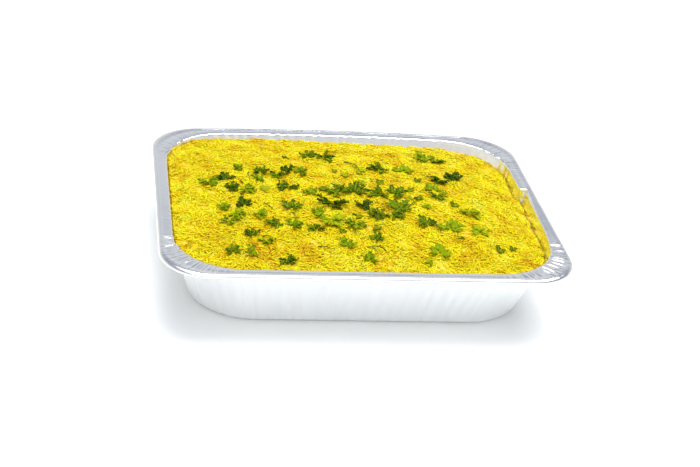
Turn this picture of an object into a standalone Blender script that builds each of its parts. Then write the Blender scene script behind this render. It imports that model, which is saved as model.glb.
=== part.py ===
"""Foil tray meal: a fluted foil catering tray full of yellow rice, scattered with parsley leaves.

Metres, +Z up. The tray's long side runs along X, its front faces -Y, and the origin is the
middle of its base.
"""

import math
import random

import bpy
from mathutils import Vector
from mathutils.geometry import delaunay_2d_cdt

# Tray, over its rolled edge
TRAY_LENGTH = 0.324
TRAY_WIDTH = 0.260
TRAY_HEIGHT = 0.0585
RIM_CORNER = 0.0376
BACK_BOW = 0.008
WALL = 0.0008

# Rolled edge and flange
BEAD = 0.0042
FLANGE = 0.011
FLANGE_DIP = 0.0008
FLANGE_CORNER = 0.0523
FLANGE_TURN = 0.0015

# Base and the flutes of the walls
BASE_LENGTH = 0.270
BASE_WIDTH = 0.194
BASE_CORNER = 0.050
BASE_TURN = 0.0025
FLUTE_DEPTH = 0.0007
FLUTES_LONG_SIDE = 20
FLUTES_SHORT_SIDE = 14
FLUTES_CORNER = 8

# Rice: gaps to the tray, depth of its edge under the rim, rise of its middle, and its grains
GAP = 0.0004
SIDE_GAP = 0.0012
EDGE_DEPTH = {"front_left": 0.0035, "front_right": 0.0090, "back_left": 0.0035, "back_right": 0.0095}
RIGHT_SAG = 0.0028
MOUND_RISE = 0.0025
MOUND_POWER = 3
SWELL = 0.0007
SWELL_LENGTH = (0.071, 0.058)
GRAIN_RELIEF = 0.0018
GRAIN_SPACING = 0.0064
GRAIN_SHIFT = 0.0016
EDGE_MARGIN = 0.0045
RICE_SEED = 41

# Parsley: a leaf has three lobes, each with a tip between two teeth
LEAF_THICKNESS = 0.0005
LEAF_GAP = 0.0004
LOBE_SPREAD = 62
LOBE_REACH = {-LOBE_SPREAD: 0.86, 0: 1.0, LOBE_SPREAD: 0.92}
TOOTH_ANGLE = 15
TOOTH_REACH = 0.86
NOTCH_ANGLE = 31
NOTCH_REACH = 0.52
STALK_REACH = 0.42
LEAF_UNITS = 1.42
LEAF_SEED = 7
SCRAP_STANDS = 0.0006
SCRAP_ROOT = 0.0032
SCRAP_CORNERS = 6

# Leaves: place on the plane of the rim as the eye sees it, length, turn and curl (mm and degrees)
EYE = Vector((-0.2169, -1.0838, 0.6110))
LEAVES = (
    (79, 78, 23, 90, 4.0), (-27, 79, 14, 80, 3.0), (-12, 76, 16, 300, 3.0), (94, 43, 17, 120, 3.5),
    (80, 36, 12, 230, 2.0), (54, 55, 15, 60, 3.0), (31, 57, 15, 200, 3.0), (-37, 47, 13, 45, 2.0),
    (-49, 50, 13, 150, 3.0), (-59, 39, 12, 260, 3.0), (-72, 46, 12, 80, 3.5), (-74, 31, 12, 190, 2.0),
    (-90, 51, 12, 180, 2.0), (-103, 32, 15, 100, 3.0), (-117, 22, 16, 280, 3.0), (-99, 14, 13, 30, 2.0),
    (-85, 10, 13, 330, 3.0), (-52, 17, 15, 240, 2.0), (-32, 9, 12, 70, 2.0), (-15, 11, 15, 160, 3.0),
    (4, 14, 16, 80, 4.5), (-18, -12, 17, 270, 3.0), (24, 10, 15, 200, 3.0), (40, 11, 15, 30, 3.0),
    (74, 6, 12, 280, 2.0), (72, 22, 14, 100, 3.0), (-91, -15, 15, 100, 3.0), (-107, -22, 12, 150, 2.0),
    (-97, -32, 12, 330, 2.0), (-105, -46, 14, 260, 3.0), (-51, -18, 15, 60, 3.0), (-78, -32, 13, 330, 2.0),
    (-31, -27, 14, 160, 2.0), (-22, -44, 14, 290, 3.0), (-70, -47, 13, 190, 2.0), (-53, -48, 13, 40, 2.0),
    (-37, -54, 12, 100, 3.0), (-15, -79, 15, 80, 3.0), (-89, -65, 15, 120, 3.0), (-78, -78, 14, 280, 2.0),
    (-105, -93, 15, 80, 3.0), (-91, -97, 13, 330, 3.0), (-64, -108, 16, 300, 3.0), (-1, -102, 14, 90, 3.0),
    (-4, -48, 14, 250, 3.0), (7, -13, 12, 280, 3.0), (15, -29, 12, 170, 2.0), (30, -31, 14, 300, 3.0),
    (38, -14, 15, 60, 3.0), (9, -68, 14, 70, 3.0), (96, -23, 15, 280, 3.0), (55, -41, 15, 110, 3.0),
    (75, -48, 16, 60, 3.0), (96, -53, 15, 90, 3.0), (56, -89, 16, 80, 3.0),
)

# Scraps of leaf, fused to the rice: place on the plane of the rim, length and turn
SCRAPS = (
    (15, 50, 10, 300), (53, 20, 9, 70), (57, 3, 9, 0), (29, 31, 10, 90), (12, 30, 9, 120),
    (0, 43, 8, 90), (62, 37, 9, 75), (0, -32, 9, 200), (61, -12, 9, 0), (13, -52, 9, 30),
    (85, -7, 9, 170), (44, -107, 10, 240), (107, -83, 10, 60), (117, -81, 8, 60), (-16, -59, 8, 280),
    (-48, 73, 7, 180), (-71, 14, 10, 90), (79, -66, 6, 20), (-8, 49, 6, 90),
)

COLOURS = {
    "foil": (0.80, 0.81, 0.83, 1.0),
    "rice": (0.87, 0.62, 0.02, 1.0),
    "parsley": (0.06, 0.16, 0.015, 1.0),
}


def clear_scene():
    for thing in list(bpy.data.objects):
        bpy.data.objects.remove(thing, do_unlink=True)


def material(name, roughness, metallic):
    """Principled material in the slot's colour"""
    made = bpy.data.materials.new(name)
    made.use_nodes = True
    shader = made.node_tree.nodes["Principled BSDF"]
    shader.inputs["Base Color"].default_value = COLOURS[name]
    shader.inputs["Roughness"].default_value = roughness
    shader.inputs["Metallic"].default_value = metallic
    made.diffuse_color = COLOURS[name]
    return made


def add_object(name, points, faces, finish):
    """Mesh object from points and faces, linked to the scene"""
    mesh = bpy.data.meshes.new(name)
    mesh.from_pydata([tuple(point) for point in points], [], faces)
    mesh.materials.append(finish)
    mesh.update()
    made = bpy.data.objects.new(name, mesh)
    bpy.context.scene.collection.objects.link(made)
    return made


def bow(x, y, height):
    """How far a place is pushed back where the long back side bulges, most at the rim"""
    if y <= 0:
        return 0.0
    across = 1 - (2 * x / TRAY_LENGTH) ** 2
    return BACK_BOW * across * (2 * y / TRAY_WIDTH) * height / TRAY_HEIGHT


def ring(half_x, half_y, radius, height, wave=0.0, every=1):
    """Points round a rounded rectangle; wave moves them out and in by turns, to make flutes"""
    points = []
    for quarter in range(4):
        sign_x = 1 if quarter in (0, 3) else -1
        sign_y = 1 if quarter in (0, 1) else -1
        centre = Vector((sign_x * (half_x - radius), sign_y * (half_y - radius)))
        turns = 2 * FLUTES_CORNER
        for step in range(turns):
            angle = (quarter + step / turns) * math.pi / 2
            out = Vector((math.cos(angle), math.sin(angle)))
            side = 1 if step % 2 == 0 else -1
            points.append(centre + out * (radius + side * wave))
        long_side = quarter % 2 == 0
        stations = 2 * (FLUTES_LONG_SIDE if long_side else FLUTES_SHORT_SIDE)
        length = 2 * ((half_x if long_side else half_y) - radius)
        angle = (quarter + 1) * math.pi / 2
        out = Vector((math.cos(angle), math.sin(angle)))
        along = Vector((-out.y, out.x))
        for step in range(stations):
            side = 1 if step % 2 == 0 else -1
            points.append(centre + out * (radius + side * wave) + along * length * step / stations)
    return [Vector((p.x, p.y + bow(p.x, p.y, height), height)) for p in points[::every]]


def wall_ring(height, inset, wave=0.0, every=1):
    """Ring on the sloping wall's outer face at a height, moved in by inset"""
    share = height / TRAY_HEIGHT
    half_x = (BASE_LENGTH + (TRAY_LENGTH - 2 * FLANGE - BASE_LENGTH) * share) / 2 - inset
    half_y = (BASE_WIDTH + (TRAY_WIDTH - 2 * FLANGE - BASE_WIDTH) * share) / 2 - inset
    radius = BASE_CORNER + (FLANGE_CORNER - BASE_CORNER) * share - inset
    return ring(half_x, half_y, radius, height, wave, every)


def rim_ring(inset, height):
    """Ring on the rolled edge or the flange, moved in from the outermost edge"""
    share = inset / FLANGE
    radius = RIM_CORNER + (FLANGE_CORNER - RIM_CORNER) * share
    return ring(TRAY_LENGTH / 2 - inset, TRAY_WIDTH / 2 - inset, radius, height)


def fan(loop, centre, turned):
    """Triangles from a loop of point numbers to the point in its middle"""
    faces = []
    for step, place in enumerate(loop):
        after = loop[(step + 1) % len(loop)]
        faces.append((centre, after, place) if turned else (centre, place, after))
    return faces


def stitch(rings):
    """Points and faces of a closed skin through the rings, each end closed by a flat fan"""
    points = [point for loop in rings for point in loop]
    count = len(rings[0])
    faces = []
    for row in range(len(rings) - 1):
        for place in range(count):
            low = row * count + place
            low_next = row * count + (place + 1) % count
            faces.append((low, low_next, low_next + count))
            faces.append((low, low_next + count, low + count))
    for loop, first, turned in ((rings[0], 0, True), (rings[-1], len(points) - count, False)):
        points.append(sum(loop, Vector()) / count)
        faces += fan(range(first, first + count), len(points) - 1, turned)
    return points, faces


def make_tray(finish):
    """One skin of foil: base, fluted walls, flange and rolled edge, then back down the inside"""
    flange_top = TRAY_HEIGHT - FLANGE_DIP
    flange_under = flange_top - WALL
    rings = (
        wall_ring(0.0, BASE_TURN),
        wall_ring(BASE_TURN, 0.0, FLUTE_DEPTH),
        wall_ring(flange_under - FLANGE_TURN, 0.0, FLUTE_DEPTH),
        rim_ring(FLANGE - FLANGE_TURN, flange_under),
        rim_ring(BEAD, flange_under - BEAD / 4),
        rim_ring(BEAD * 0.55, TRAY_HEIGHT - BEAD),
        rim_ring(0.0, TRAY_HEIGHT - BEAD * 0.55),
        rim_ring(BEAD * 0.4, TRAY_HEIGHT),
        rim_ring(BEAD, flange_top),
        rim_ring(FLANGE - FLANGE_TURN * 0.3, flange_top),
        wall_ring(flange_top - FLANGE_TURN, WALL, FLUTE_DEPTH),
        wall_ring(BASE_TURN + WALL, WALL, FLUTE_DEPTH),
        wall_ring(WALL, BASE_TURN + WALL),
    )
    points, faces = stitch(rings)
    return add_object("tray", points, faces, finish)


def rice_level(x, y):
    """Height of the rice's bare surface: deeper under the rim along the right, a low mound"""
    half_x = TRAY_LENGTH / 2 - FLANGE
    half_y = TRAY_WIDTH / 2 - FLANGE + (bow(x, TRAY_WIDTH / 2, TRAY_HEIGHT) if y > 0 else 0)
    across = max(-1, min(1, x / half_x))
    along = max(-1, min(1, y / half_y))
    right = (1 + across) / 2
    back = (1 + along) / 2
    front_depth = EDGE_DEPTH["front_left"] * (1 - right) + EDGE_DEPTH["front_right"] * right
    back_depth = EDGE_DEPTH["back_left"] * (1 - right) + EDGE_DEPTH["back_right"] * right
    depth = front_depth * (1 - back) + back_depth * back + RIGHT_SAG * right ** 3 * (1 - along ** 2)
    mound = (1 - abs(across) ** MOUND_POWER) * (1 - abs(along) ** MOUND_POWER)
    swell = SWELL * math.sin(x / SWELL_LENGTH[0] * math.tau) * math.cos(y / SWELL_LENGTH[1] * math.tau)
    return TRAY_HEIGHT - depth + (MOUND_RISE + depth + swell) * mound


def on_rice(x, y):
    """Place on the rice behind a spot on the rim's plane, along the line from the eye"""
    spot = Vector((x, y, TRAY_HEIGHT))
    sight = (spot - EYE) / (EYE.z - TRAY_HEIGHT)
    place = spot
    for turn in range(8):
        place = spot + sight * (TRAY_HEIGHT - rice_level(place.x, place.y))
    return place


def depth_inside(x, y, half_x, half_y, radius):
    """How far a place lies inside a rounded rectangle"""
    over_x = abs(x) - half_x + radius
    over_y = abs(y) - half_y + radius
    corner = math.hypot(max(over_x, 0), max(over_y, 0))
    return radius - corner - min(max(over_x, over_y), 0)


def rice_top(draw):
    """Edge loop and inner points of the rice's surface, its grains as bumps under the bare level"""
    foot = wall_ring(WALL + GAP, BASE_TURN + WALL + SIDE_GAP, every=2)
    brim = wall_ring(TRAY_HEIGHT, WALL + SIDE_GAP, every=2)
    edge = []
    for low, high in zip(foot, brim):
        height = rice_level(high.x, high.y) - draw.uniform(0, GRAIN_RELIEF)
        share = (height - low.z) / (high.z - low.z)
        edge.append(low + (high - low) * share)
    half_x = TRAY_LENGTH / 2 - FLANGE - EDGE_MARGIN
    half_y = TRAY_WIDTH / 2 - FLANGE - EDGE_MARGIN
    row_height = GRAIN_SPACING * math.sqrt(3) / 2
    inner = []
    rows = int(half_y / row_height)
    columns = int(half_x / GRAIN_SPACING) + 1
    for row in range(-rows, rows + 1):
        for column in range(-columns, columns + 1):
            x = (column + (row % 2) / 2) * GRAIN_SPACING + draw.uniform(-GRAIN_SHIFT, GRAIN_SHIFT)
            y = row * row_height + draw.uniform(-GRAIN_SHIFT, GRAIN_SHIFT)
            drop = draw.uniform(0, GRAIN_RELIEF)
            if depth_inside(x, y, half_x, half_y, FLANGE_CORNER - EDGE_MARGIN) < EDGE_MARGIN:
                continue
            y += bow(x, y, TRAY_HEIGHT)
            inner.append(Vector((x, y, rice_level(x, y) - drop)))
    return foot, edge, inner


def make_rice_core(finish):
    """Solid bed of rice: flat foot, plain sides along the tray's walls, and a grainy top"""
    foot, edge, inner = rice_top(random.Random(RICE_SEED))
    count = len(edge)
    flat = [Vector((p.x, p.y)) for p in edge + inner]
    found = delaunay_2d_cdt(flat, [], [list(range(count))], 1, 1e-7)
    top = edge + inner
    points = [top[source[0]] for source in found[3]] + foot
    place_of = {source[0]: index for index, source in enumerate(found[3])}
    faces = [tuple(face) for face in found[2]]
    first_foot = len(found[3])
    for step in range(count):
        after = (step + 1) % count
        low, low_next = first_foot + step, first_foot + after
        high, high_next = place_of[step], place_of[after]
        faces.append((low, low_next, high_next))
        faces.append((low, high_next, high))
    points.append(sum(foot, Vector()) / count)
    faces += fan(range(first_foot, first_foot + count), len(points) - 1, True)
    return add_object("rice", points, faces, finish)


def make_scrap(number, x, y, length, turn, finish):
    """Small flake of leaf standing a little out of the rice, with a root that reaches into it"""
    place = on_rice(x / 1000, y / 1000)
    along = Vector((math.cos(math.radians(turn)), math.sin(math.radians(turn))))
    across = Vector((-along.y, along.x))
    loops = []
    for height in (-SCRAP_ROOT, SCRAP_STANDS):
        loop = []
        for corner in range(SCRAP_CORNERS):
            angle = math.tau * corner / SCRAP_CORNERS
            reach = along * math.cos(angle) * length / 2000 + across * math.sin(angle) * length / 3600
            spot_x = place.x + reach.x
            spot_y = place.y + reach.y
            loop.append(Vector((spot_x, spot_y, rice_level(spot_x, spot_y) + height)))
        loops.append(loop)
    points, faces = stitch(loops)
    return add_object(f"scrap_{number}", points, faces, finish)


def make_rice(finish):
    """Rice with the scraps of leaf fused to it by one union"""
    rice = make_rice_core(finish)
    scraps = bpy.data.collections.new("scraps")
    bpy.context.scene.collection.children.link(scraps)
    for number, (x, y, length, turn) in enumerate(SCRAPS, 1):
        scrap = make_scrap(number, x, y, length, turn, finish)
        bpy.context.scene.collection.objects.unlink(scrap)
        scraps.objects.link(scrap)
    union = rice.modifiers.new("scraps", "BOOLEAN")
    union.operation = "UNION"
    union.operand_type = "COLLECTION"
    union.collection = scraps
    union.solver = "EXACT"
    bpy.context.view_layer.update()
    joined = bpy.data.meshes.new_from_object(rice.evaluated_get(bpy.context.evaluated_depsgraph_get()))
    rice.modifiers.remove(union)
    rice.data = joined
    for scrap in list(scraps.objects):
        bpy.data.objects.remove(scrap, do_unlink=True)
    bpy.data.collections.remove(scraps)
    return rice


def leaf_corners():
    """Angle, reach and kind of each corner round a leaf's edge, from the stalk back to it"""
    corners = [(-180, STALK_REACH, "stalk")]
    for lobe, reach in LOBE_REACH.items():
        corners.append((lobe - NOTCH_ANGLE, NOTCH_REACH, "notch"))
        corners.append((lobe - TOOTH_ANGLE, reach * TOOTH_REACH, "tooth"))
        corners.append((lobe, reach, "tip"))
        corners.append((lobe + TOOTH_ANGLE, reach * TOOTH_REACH, "tooth"))
    corners.append((LOBE_SPREAD + NOTCH_ANGLE, NOTCH_REACH, "notch"))
    return corners


def make_leaf(number, x, y, length, turn, curl, draw, finish):
    """Thin wavy leaf on the rice, its upper and lower faces split into triangles alike"""
    unit = length / 1000 / LEAF_UNITS
    curl = curl / 1000
    place = on_rice(x / 1000, y / 1000)
    along = Vector((math.cos(math.radians(turn)), math.sin(math.radians(turn))))
    across = Vector((-along.y, along.x))
    root = Vector((place.x, place.y)) - along * unit * (1 - STALK_REACH) / 2
    spots = [(root, curl * 0.3)]
    for angle, reach, kind in leaf_corners():
        side = math.radians(angle)
        spot = root + (along * math.cos(side) + across * math.sin(side)) * reach * unit
        rise = {"stalk": 0.1, "notch": 0.05, "tooth": 0.5, "tip": 0.8}[kind] * curl
        spots.append((spot, rise * draw.uniform(0.3, 1.0)))
    lower = [Vector((s.x, s.y, rice_level(s.x, s.y) + LEAF_GAP + rise)) for s, rise in spots]
    upper = [point + Vector((0, 0, LEAF_THICKNESS)) for point in lower]
    count = len(spots)
    faces = []
    for step in range(1, count):
        after = step % (count - 1) + 1
        faces.append((0, after, step))
        faces.append((count, count + step, count + after))
        faces.append((step, after, count + after))
        faces.append((step, count + after, count + step))
    return add_object(f"leaf_{number:02d}", lower + upper, faces, finish)


clear_scene()
foil = material("foil", 0.3, 1.0)
grain = material("rice", 0.5, 0.0)
parsley = material("parsley", 0.55, 0.0)
make_tray(foil)
make_rice(grain)
leaf_draw = random.Random(LEAF_SEED)
for leaf_number, (leaf_x, leaf_y, size, heading, lift) in enumerate(LEAVES, 1):
    make_leaf(leaf_number, leaf_x, leaf_y, size, heading, lift, leaf_draw, parsley)
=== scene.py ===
"""Foil tray meal, dressed: a fluted aluminium tray of yellow long-grain rice, scattered with parsley.

Metres, +Z up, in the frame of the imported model: the tray's long side runs along X, its front
faces -Y, and the origin is the middle of its base.
"""

import math

import bpy
import numpy as np
from mathutils import Matrix, Vector


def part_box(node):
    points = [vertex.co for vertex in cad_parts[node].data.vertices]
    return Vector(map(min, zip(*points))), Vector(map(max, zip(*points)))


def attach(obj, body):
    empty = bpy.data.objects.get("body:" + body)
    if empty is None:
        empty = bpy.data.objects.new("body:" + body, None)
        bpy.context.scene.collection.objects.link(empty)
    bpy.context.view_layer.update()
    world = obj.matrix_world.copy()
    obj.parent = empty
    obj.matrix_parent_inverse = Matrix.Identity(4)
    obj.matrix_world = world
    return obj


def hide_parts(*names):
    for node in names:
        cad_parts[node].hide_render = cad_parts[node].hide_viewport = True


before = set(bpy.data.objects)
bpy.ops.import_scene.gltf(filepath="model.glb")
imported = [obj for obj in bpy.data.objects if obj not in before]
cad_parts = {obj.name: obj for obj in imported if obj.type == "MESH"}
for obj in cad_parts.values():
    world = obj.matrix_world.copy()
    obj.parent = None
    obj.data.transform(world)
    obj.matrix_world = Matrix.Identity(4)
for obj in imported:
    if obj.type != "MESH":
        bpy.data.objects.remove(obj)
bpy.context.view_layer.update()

# Foil tray
# A half-size catering tray, pressed from one sheet of soft aluminium foil. Its walls are fluted
# for stiffness, its flange is rolled under at the edge, and the spare foil gathers in fine pleats
# at the corners. One corner and the right side have been knocked in handling.
tray_low, tray_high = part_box("tray")
LENGTH = tray_high[0] - tray_low[0]
WIDTH = -2 * tray_low[1]
HEIGHT = tray_high[2]
BACK_BOW = 0.008
BASE_HALF = (0.135, 0.097)
BASE_CORNER = 0.050
BASE_TURN = 0.0025
RIM_CORNER = 0.0376
FLANGE = 0.011
FLANGE_CORNER = 0.0523
FLANGE_DIP = 0.0008
FLANGE_TURN = 0.0015
BEAD = 0.0042
FOIL = 0.00025
FLUTES = {"long": 20, "short": 14, "corner": 8}
FLUTE_DEPTH = 0.0004
STEPS = {"long": 240, "short": 168, "corner": 200}
FLUTE_BUMPS = 90
FLUTE_UNEVEN = 0.6
FLUTE_DRIFT = 0.35
# Folds: heights at the corners from the back right one round by the left, heights on the back, left,
# front and right sides, and how far apart they are
PLEATS = {
    "corner": (0.00016, 0.00008, 0.00026, 0.00034), "side": (0.00009, 0.00003, 0.00024, 0.00007),
    "pitch": 0.0009, "side_pitch": 0.0034,
}
CURL_FOLDS = {
    "corner": (0.00010, 0.00005, 0.00008, 0.00022), "side": (0.00002, 0.00001, 0.00002, 0.00002),
    "pitch": 0.0026, "side_pitch": 0.0090,
}
WALL_FOLDS = {
    "corner": (0.0003, 0.0003, 0.0008, 0.0004), "side": (0.0, 0.0, 0.0, 0.0),
    "pitch": 0.0031, "side_pitch": 0.0120,
}
FLUTE_SHARE = {"corner": 0.8, "side": (0.9, 0.6, 0.9, 0.3)}
FOLD_SIZE = (0.45, 1.1)
FOLD_RISE = (-1.0, 1.3)
FOLD_REACH = (0.5, 1.5)
FOLD_SPACING = (0.6, 1.4)
FOLD_FADE = 0.0064
CURL_INNER = 0.0045
SKIRT_FROM = 0.0095
SKIRT_EASE = 0.0023
INWARD_LIMIT = 0.0006
# The knocked right side: where along Y it was pushed out, how far, how that fades, and down to where
DENT_Y = 0.029
DENT_DEPTH = 0.0034
DENT_TAIL = 0.0024
DENT_FADE = 0.025
DENT_FOLD = 0.0015
DENT_FRONT = -0.075
DENT_EASE = 0.03
DENT_LOW = 0.036
DENT_LOW_EASE = 0.008
DENT_SINK = 0.18
# Rings of the skin: under the base, down the inside of the wall, on the inner base, and at each turn
BASE_INSETS = (0.075, 0.030, 0.008)
INNER_DEPTHS = (0.0026, 0.0042, 0.0065, 0.0095, 0.013, 0.018, 0.030, 0.046)
INNER_BASE = 0.040
TURN_ROWS = 4
WALL_ROWS = 11
CURL_ROWS = 9
OUT_SEARCH = (-0.001, 0.030)
WAVE_RANGE = (0.6, 1.7)
HANDLING_SIZE = 0.030
HANDLING_DEPTH = 0.00007
STIFF_HEIGHT = 0.008


def linear(code):
    """Linear colour from an sRGB hex value"""
    parts = [int(code[place : place + 2], 16) / 255 for place in (1, 3, 5)]
    return tuple(p / 12.92 if p <= 0.04045 else ((p + 0.055) / 1.055) ** 2.4 for p in parts) + (1.0,)


def add_node(tree, kind, settings=None, stops=None, **inputs):
    """Node with its settings, colour stops, and inputs: a socket is linked, a value is set"""
    node = tree.nodes.new(kind)
    for name, value in (settings or {}).items():
        setattr(node, name, value)
    if stops:
        ramp = node.color_ramp
        while len(ramp.elements) < len(stops):
            ramp.elements.new(1.0)
        for element, (place, code) in zip(ramp.elements, stops):
            element.position = place
            element.color = linear(code)
    for name, value in inputs.items():
        socket = node.inputs[int(name[1:]) if name[1:].isdigit() else name.replace("_", " ")]
        if isinstance(value, bpy.types.NodeSocket):
            tree.links.new(value, socket)
        else:
            socket.default_value = value
    return node


def new_material(name, code):
    """Material and its Principled shader, with its plain colour"""
    made = bpy.data.materials.new(name)
    made.use_nodes = True
    shader = made.node_tree.nodes["Principled BSDF"]
    shader.inputs["Base Color"].default_value = linear(code)
    made.diffuse_color = linear(code)
    return made, made.node_tree, shader


def add_mesh(name, points, faces, finish, **point_values):
    """Object from arrays, with any values for its points kept as attributes"""
    mesh = bpy.data.meshes.new(name)
    face_rows = faces if isinstance(faces, list) else faces.tolist()
    mesh.from_pydata(np.asarray(points).tolist(), [], face_rows)
    mesh.polygons.foreach_set("use_smooth", [True] * len(mesh.polygons))
    for key, values in point_values.items():
        layer = mesh.attributes.new(key, "FLOAT", "POINT")
        layer.data.foreach_set("value", np.asarray(values, dtype=np.float32))
    mesh.materials.append(finish)
    mesh.update()
    made = bpy.data.objects.new(name, mesh)
    bpy.context.scene.collection.objects.link(made)
    return made


def bow(x, y, z):
    """How far the long back side bulges at a place, most at the rim"""
    across = 1 - (2 * x / LENGTH) ** 2
    return np.where(y > 0, BACK_BOW * across * (2 * y / WIDTH) * z / HEIGHT, 0.0)


def stations(steps):
    """Places round a rounded rectangle, counter-clockwise from its right end"""
    rows = []
    for quarter in range(4):
        sign = (1 if quarter in (0, 3) else -1, 1 if quarter in (0, 1) else -1)
        for step in range(steps["corner"]):
            angle = (quarter + step / steps["corner"]) * math.pi / 2
            flute = FLUTES["corner"] * step / steps["corner"]
            rows.append((math.cos(angle), math.sin(angle), *sign, 0, 0, 0, flute, quarter))
        side = "long" if quarter % 2 == 0 else "short"
        angle = (quarter + 1) * math.pi / 2
        out = (round(math.cos(angle)), round(math.sin(angle)))
        for step in range(steps[side]):
            share = step / steps[side]
            rows.append((*out, *sign, -out[1] * share, out[0] * share, 1, FLUTES[side] * share, quarter))
    table = np.array(rows, dtype=float)
    return {
        "out": table[:, 0:2],
        "sign": table[:, 2:4],
        "along": table[:, 4:6],
        "straight": table[:, 6] > 0,
        "flute": table[:, 7],
        "quarter": table[:, 8].astype(int),
    }


def ring(places, half_x, half_y, radius, z, wave=0.0):
    """Points round the tray; wave moves them outwards"""
    centre = places["sign"] * (np.array([half_x, half_y]) - radius)
    reach = np.where(places["quarter"] % 2 == 0, half_x, half_y) - radius
    outwards = np.broadcast_to(radius + wave, reach.shape)
    flat = centre + places["out"] * outwards[:, None] + places["along"] * (2 * reach)[:, None]
    x, y = flat[:, 0], flat[:, 1]
    return np.column_stack([x, y + bow(x, y, z), np.broadcast_to(z, reach.shape)])


def wall_ring(places, height, inset, wave=0.0):
    """Ring on the sloping wall at a height"""
    share = height / HEIGHT
    half_x = BASE_HALF[0] + (LENGTH / 2 - FLANGE - BASE_HALF[0]) * share - inset
    half_y = BASE_HALF[1] + (WIDTH / 2 - FLANGE - BASE_HALF[1]) * share - inset
    radius = BASE_CORNER + (FLANGE_CORNER - BASE_CORNER) * share - inset
    return ring(places, half_x, half_y, radius, height, wave)


def room_within(x, y, half_x, half_y, radius):
    """How far a place lies inside a rounded rectangle"""
    over_x = np.abs(x) - half_x + radius
    over_y = np.abs(y) - half_y + radius
    corner_reach = np.hypot(np.maximum(over_x, 0), np.maximum(over_y, 0))
    return radius - corner_reach - np.minimum(np.maximum(over_x, over_y), 0)


def rim_ring(places, inset, height, wave=0.0):
    """Ring on the flange or its rolled edge, each point straight out from the wall's top"""
    radius = RIM_CORNER + (FLANGE_CORNER - RIM_CORNER) * inset / FLANGE
    half_x, half_y = LENGTH / 2 - inset, WIDTH / 2 - inset
    inner_x, inner_y = LENGTH / 2 - FLANGE, WIDTH / 2 - FLANGE
    centre = places["sign"] * (np.array([inner_x, inner_y]) - FLANGE_CORNER)
    reach = np.where(places["quarter"] % 2 == 0, inner_x, inner_y) - FLANGE_CORNER
    start = centre + places["out"] * FLANGE_CORNER + places["along"] * (2 * reach)[:, None]
    near, far = (np.full(len(reach), limit) for limit in OUT_SEARCH)
    for _ in range(24):
        middle = (near + far) / 2
        spot = start + places["out"] * middle[:, None]
        within = room_within(spot[:, 0], spot[:, 1], half_x, half_y, radius) > 0
        near, far = np.where(within, middle, near), np.where(within, far, middle)
    flat = start + places["out"] * (near + wave)[:, None]
    x, y = flat[:, 0], flat[:, 1]
    return np.column_stack([x, y + bow(x, y, height), np.full(len(reach), height)])


def ripple(points, size, seed, waves=9):
    """Smooth uneven field of about -1 to 1, from a few plane waves"""
    draw = np.random.default_rng(seed)
    total = np.zeros(len(points))
    for _ in range(waves):
        heading = draw.normal(size=3)
        heading /= np.linalg.norm(heading)
        wavelength = size * draw.uniform(*WAVE_RANGE)
        total += np.sin(points @ heading * math.tau / wavelength + draw.uniform(0, math.tau))
    return total / math.sqrt(waves)


round_tray = stations(STEPS)
wall_top = wall_ring(round_tray, HEIGHT, 0.0)
gaps = np.linalg.norm(np.diff(wall_top, axis=0, append=wall_top[:1]), axis=1)
travel = np.concatenate([[0], np.cumsum(gaps)[:-1]])
girth = gaps.sum()
foil_draw = np.random.default_rng(11)


def gathered(heights):
    """Folds that run across the foil: where, how tall, how wide, and over which share of its width"""
    folds = []
    place = 0.0
    while place < girth:
        here = min(int(np.searchsorted(travel, place)), len(travel) - 1)
        in_corner = not round_tray["straight"][here]
        tall = heights["corner" if in_corner else "side"][round_tray["quarter"][here]]
        pitch = heights["pitch"] if in_corner else heights["side_pitch"]
        size = foil_draw.uniform(*FOLD_SIZE)
        folds.append((
            place, tall * size * foil_draw.uniform(*FOLD_RISE), heights["pitch"] * size,
            foil_draw.uniform(0, 1), foil_draw.uniform(*FOLD_REACH),
        ))
        place += pitch * foil_draw.uniform(*FOLD_SPACING)
    return folds


def fold_field(folds, share):
    """Height of the folds round the tray, at a share of the way across them"""
    field = np.zeros(len(travel))
    for place, tall, wide, middle, reach in folds:
        away = np.abs((travel - place + girth / 2) % girth - girth / 2)
        field += tall * np.maximum(0, 1 - away / wide) * max(0.0, 1 - abs(share - middle) / reach)
    return field


flange_folds, curl_folds, wall_folds = gathered(PLEATS), gathered(CURL_FOLDS), gathered(WALL_FOLDS)
bumps_round = np.linspace(0, girth, FLUTE_BUMPS)
flute_size = 1 + FLUTE_UNEVEN * np.interp(travel, bumps_round, foil_draw.uniform(-1, 1, FLUTE_BUMPS))
flute_drift = FLUTE_DRIFT * np.interp(travel, bumps_round, foil_draw.uniform(-1, 1, FLUTE_BUMPS))
right_side = round_tray["straight"] & (round_tray["quarter"] == 3)
side_share = np.array(FLUTE_SHARE["side"])[round_tray["quarter"]]
flute_size *= np.where(round_tray["straight"], side_share, FLUTE_SHARE["corner"])
flutes = FLUTE_DEPTH * np.cos((round_tray["flute"] + flute_drift) * math.tau) * flute_size


def dent(y):
    """How far the right side's upper wall and inner flange are pushed out, where the foil is folded back"""
    behind = DENT_Y - y
    push = DENT_DEPTH * np.exp(-np.maximum(behind, 0) / DENT_FADE) + DENT_TAIL
    return push * np.clip(behind / DENT_FOLD, 0, 1) * np.clip((y - DENT_FRONT) / DENT_EASE, 0, 1)


def dent_share(height):
    """How much of the dent a height has"""
    return np.clip((height - DENT_LOW) / DENT_LOW_EASE, 0, 1)


def wall_row(height, inset, flute_share):
    """Fluted ring of wall, with corner folds and the dent"""
    share = height / HEIGHT
    base = wall_ring(round_tray, height, inset)
    folds = fold_field(wall_folds, share) * math.sin(math.pi * min(1, share)) ** 0.5
    wave = np.maximum((flutes + folds) * flute_share, -INWARD_LIMIT)
    push = np.where(right_side, dent(base[:, 1]), 0.0) * dent_share(height)
    return wall_ring(round_tray, height, inset, wave + push)


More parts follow.
